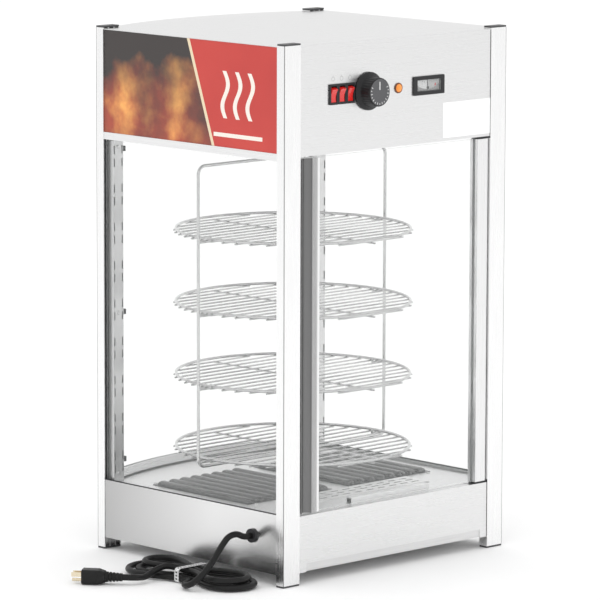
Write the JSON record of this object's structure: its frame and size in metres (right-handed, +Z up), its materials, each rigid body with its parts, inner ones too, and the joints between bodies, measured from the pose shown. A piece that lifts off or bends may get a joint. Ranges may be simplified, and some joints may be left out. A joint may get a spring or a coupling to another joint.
{
  "type": "rotating display case",
  "caption": "Countertop heated display case with a bowed glass front, a hinged rear glass door, and a turntable of round wire racks that revolves inside.",
  "frame": {"origin": "on the floor under the middle of the case, measured without the free cord", "axes": "+Z up, +Y towards the door and the controls, -Y towards the bowed customer front, +X towards the side with the cord"},
  "size_m": [0.6724, 0.476, 0.806],
  "materials": {
    "post_aluminium": "satin anodised extrusion",
    "brushed_stainless": "brushed stainless sheet",
    "pan_steel": "plain mill finish sheet",
    "clear_glass": "clear toughened glass",
    "black_plastic": "moulded black plastic",
    "chrome_wire": "bright plated wire",
    "sign_face": null,
    "red_plastic": "translucent red rocker",
    "amber_lens": "amber lens",
    "cord_rubber": "black flexible jacket",
    "blade_metal": "plated brass",
    "dial_face": "black case with a white dial",
    "pointer_paint": "dark painted pointer",
    "lamp_glass": "frosted bulb",
    "motor_metal": "grey painted housing",
    "tie_strap": "perforated strap",
    "screw_steel": "plated screws"
  },
  "bodies": {
    "cabinet": {"post_front_right": "post_aluminium", "post_rear_right": "post_aluminium", "post_front_left": "post_aluminium", "post_rear_left": "post_aluminium", "side_header_rails": "post_aluminium", "front_rails": "post_aluminium", "post_end_caps": "black_plastic", "switch_bodies": "black_plastic", "door_pivots": "black_plastic", "cord_gland": "black_plastic", "terminal_block": "black_plastic", "glass_clips": "black_plastic", "slotted_uprights": "brushed_stainless", "base_side_right": "brushed_stainless", "base_side_left": "brushed_stainless", "base_rear": "brushed_stainless", "base_front": "brushed_stainless", "control_panel": "brushed_stainless", "roof_panel": "brushed_stainless", "roof_front_strip": "brushed_stainless", "heater_covers": "brushed_stainless", "water_pan": "brushed_stainless", "water_pan_lid": "brushed_stainless", "floor_deck": "brushed_stainless", "deck_bar": "brushed_stainless", "bottom_pan": "pan_steel", "ceiling_panel": "pan_steel", "heating_elements": "pan_steel", "glass_right": "clear_glass", "glass_left": "clear_glass", "glass_front": "clear_glass", "sign_right": "sign_face", "sign_left": "sign_face", "sign_front": "sign_face", "pilot_lamp": "amber_lens", "cord_lead": "cord_rubber", "cord_bundle": "cord_rubber", "cord_tail": "cord_rubber", "plug_body": "cord_rubber", "plug_blades": "blade_metal", "thermometer_case": "dial_face", "header_lamp": "lamp_glass", "gearmotor": "motor_metal", "thermostat": "motor_metal", "cord_tie": "tie_strap", "screws": "screw_steel"},
    "turntable": {"drive_hub": "motor_metal", "wire_carrier": "chrome_wire", "rack_1": "chrome_wire", "rack_2": "chrome_wire", "rack_3": "chrome_wire", "rack_4": "chrome_wire"},
    "door": {"door_hinge_stile": "post_aluminium", "door_handle_stile": "post_aluminium", "door_glass": "clear_glass"},
    "switch_1": {"rocker_1": "red_plastic"},
    "switch_2": {"rocker_2": "red_plastic"},
    "switch_3": {"rocker_3": "red_plastic"},
    "knob": {"thermostat_knob": "black_plastic"},
    "pointer": {"thermometer_pointer": "pointer_paint"}
  },
  "joints": [
    {"name": "turntable_spin", "type": "hinge", "parent": "cabinet", "child": "turntable", "pos_m": [0, -0.01, 0.104], "axis": [0, 0, 1], "continuous": true},
    {"name": "door_swing", "type": "hinge", "parent": "cabinet", "child": "door", "pos_m": [-0.1917, 0.206, 0.104], "axis": [0, 0, 1], "range_deg": [0, 90]},
    {"name": "rocker_1_tip", "type": "hinge", "parent": "cabinet", "child": "switch_1", "pos_m": [0.1334, 0.207, 0.7263], "axis": [1, 0, 0], "range_deg": [0, 24]},
    {"name": "rocker_2_tip", "type": "hinge", "parent": "cabinet", "child": "switch_2", "pos_m": [0.1161, 0.207, 0.7263], "axis": [1, 0, 0], "range_deg": [0, 24]},
    {"name": "rocker_3_tip", "type": "hinge", "parent": "cabinet", "child": "switch_3", "pos_m": [0.0988, 0.207, 0.7263], "axis": [1, 0, 0], "range_deg": [0, 24]},
    {"name": "knob_turn", "type": "hinge", "parent": "cabinet", "child": "knob", "pos_m": [0.061, 0.223, 0.7263], "axis": [0, -1, 0], "range_deg": [0, 270]},
    {"name": "pointer_sweep", "type": "hinge", "parent": "cabinet", "child": "pointer", "pos_m": [-0.0655, 0.213, 0.7223], "axis": [0, 1, 0], "range_deg": [-60, 60]}
  ]
}
